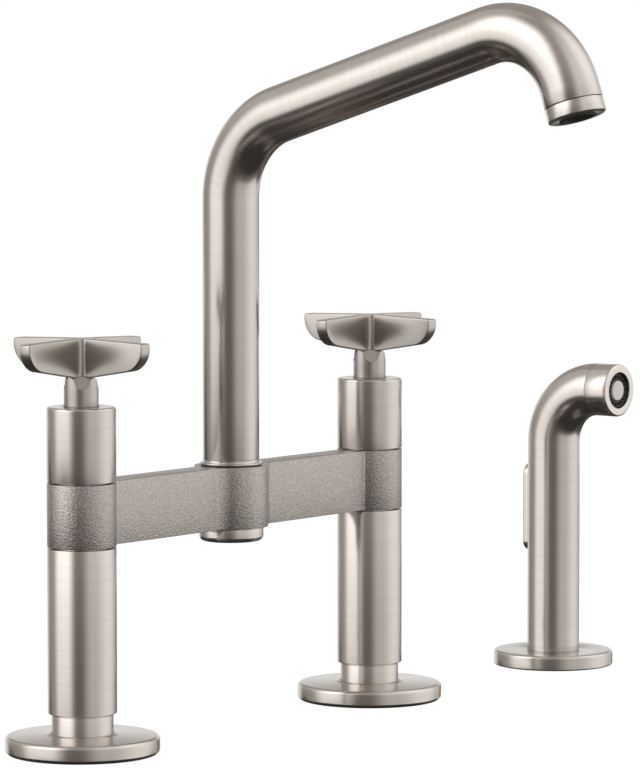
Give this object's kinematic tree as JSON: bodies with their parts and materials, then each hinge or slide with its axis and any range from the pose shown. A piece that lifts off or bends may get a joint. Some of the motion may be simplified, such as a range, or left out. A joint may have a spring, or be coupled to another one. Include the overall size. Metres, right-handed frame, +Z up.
{
  "type": "bridge kitchen faucet",
  "caption": "Deck-mounted bridge kitchen faucet with cross handles on round pillars, an angular swivel spout and a separate side spray with a thumb trigger.",
  "frame": {"origin": "on the top of the deck, midway between the axes of the hot and cold valves, under the spout's upright", "axes": "+X along the bridge from the hot to the cold valve and on to the side spray, +Y away from the sink, +Z up"},
  "size_m": [0.417, 0.236, 0.3809],
  "materials": {
    "satin_nickel": "fine circumferential brushing, warm satin nickel plate",
    "cast_nickel": "fine hammered sand texture, warm satin nickel plate",
    "brass": "turned brass, unplated",
    "steel": "machined stainless steel",
    "ceramic": "lapped white ceramic",
    "rubber": "black moulded rubber",
    "black_plastic": "black moulded plastic",
    "pale_plastic": "pale grey moulded plastic"
  },
  "bodies": {
    "deck_assembly": {"hot_deck_gasket": "rubber", "hot_deck_flange": "satin_nickel", "hot_valve_body": "satin_nickel", "hot_deck_washer": "steel", "hot_mounting_nut": "brass", "hot_lower_sleeve": "satin_nickel", "hot_upper_sleeve": "satin_nickel", "hot_seat_seal": "rubber", "hot_fixed_disc": "ceramic", "hot_cartridge_body": "brass", "hot_bonnet_nut": "brass", "cold_deck_gasket": "rubber", "cold_deck_flange": "satin_nickel", "cold_valve_body": "satin_nickel", "cold_deck_washer": "steel", "cold_mounting_nut": "brass", "cold_lower_sleeve": "satin_nickel", "cold_upper_sleeve": "satin_nickel", "cold_seat_seal": "rubber", "cold_fixed_disc": "ceramic", "cold_cartridge_body": "brass", "cold_bonnet_nut": "brass", "bridge_body": "cast_nickel", "hub_cap": "satin_nickel", "spout_thrust_ring": "black_plastic", "spray_flange": "satin_nickel", "spray_guide_shank": "brass", "spray_deck_washer": "steel", "spray_lock_nut": "brass"},
    "hot_handle": {"hot_moving_disc": "ceramic", "hot_spindle": "brass", "hot_cross_handle": "satin_nickel", "hot_set_screw": "steel"},
    "cold_handle": {"cold_moving_disc": "ceramic", "cold_spindle": "brass", "cold_cross_handle": "satin_nickel", "cold_set_screw": "steel"},
    "spout": {"spout_nipple": "satin_nickel", "spout_lower_o_ring": "rubber", "spout_upper_o_ring": "rubber", "spout_tube": "satin_nickel", "spout_retaining_washer": "steel", "spout_retaining_screw": "steel", "aerator_ring": "satin_nickel", "aerator_housing": "black_plastic", "aerator_screen": "black_plastic"},
    "guide_bush": {"spray_guide_bush": "pale_plastic"},
    "spray_handset": {"spray_body": "satin_nickel", "spray_hose_nipple": "brass", "spray_valve_housing": "black_plastic", "spray_valve_spring": "steel", "trigger_pivot_pin": "steel", "spray_nose_ring": "satin_nickel", "spray_nozzle_ring": "black_plastic", "spray_centre_disc": "pale_plastic"},
    "trigger": {"trigger_paddle": "satin_nickel"},
    "valve_pin": {"spray_valve_pin": "steel"}
  },
  "joints": [
    {"name": "hot_handle_turn", "type": "hinge", "parent": "deck_assembly", "child": "hot_handle", "pos_m": [-0.1016, 0, 0.18], "axis": [0, 0, 1], "range_deg": [0, 90]},
    {"name": "cold_handle_turn", "type": "hinge", "parent": "deck_assembly", "child": "cold_handle", "pos_m": [0.1016, 0, 0.18], "axis": [0, 0, 1], "range_deg": [-90, 0]},
    {"name": "spout_swivel", "type": "hinge", "parent": "deck_assembly", "child": "spout", "pos_m": [0, 0, 0.1], "axis": [0, 0, 1], "continuous": true},
    {"name": "spray_turn", "type": "hinge", "parent": "deck_assembly", "child": "guide_bush", "pos_m": [0.2499, 0, 0], "axis": [0, 0, 1], "continuous": true},
    {"name": "spray_lift", "type": "slide", "parent": "guide_bush", "child": "spray_handset", "axis": [0, 0, 1], "range_m": [0, 0.15]},
    {"name": "trigger_press", "type": "hinge", "parent": "spray_handset", "child": "trigger", "pos_m": [0.2499, 0.0076, 0.0914], "axis": [-1, 0, 0], "range_deg": [0, 3.5], "stiffness_Nm_per_rad": 0.5, "springref_deg": -11.46},
    {"name": "valve_pin_slide", "type": "slide", "parent": "spray_handset", "child": "valve_pin", "axis": [0, -1, 0], "range_m": [0, 0.0016], "deforming": ["spray_valve_spring"]}
  ],
  "couplings": [
    {"joint": "valve_pin_slide", "follows": "trigger_press", "m_per_rad": 0.026}
  ]
}
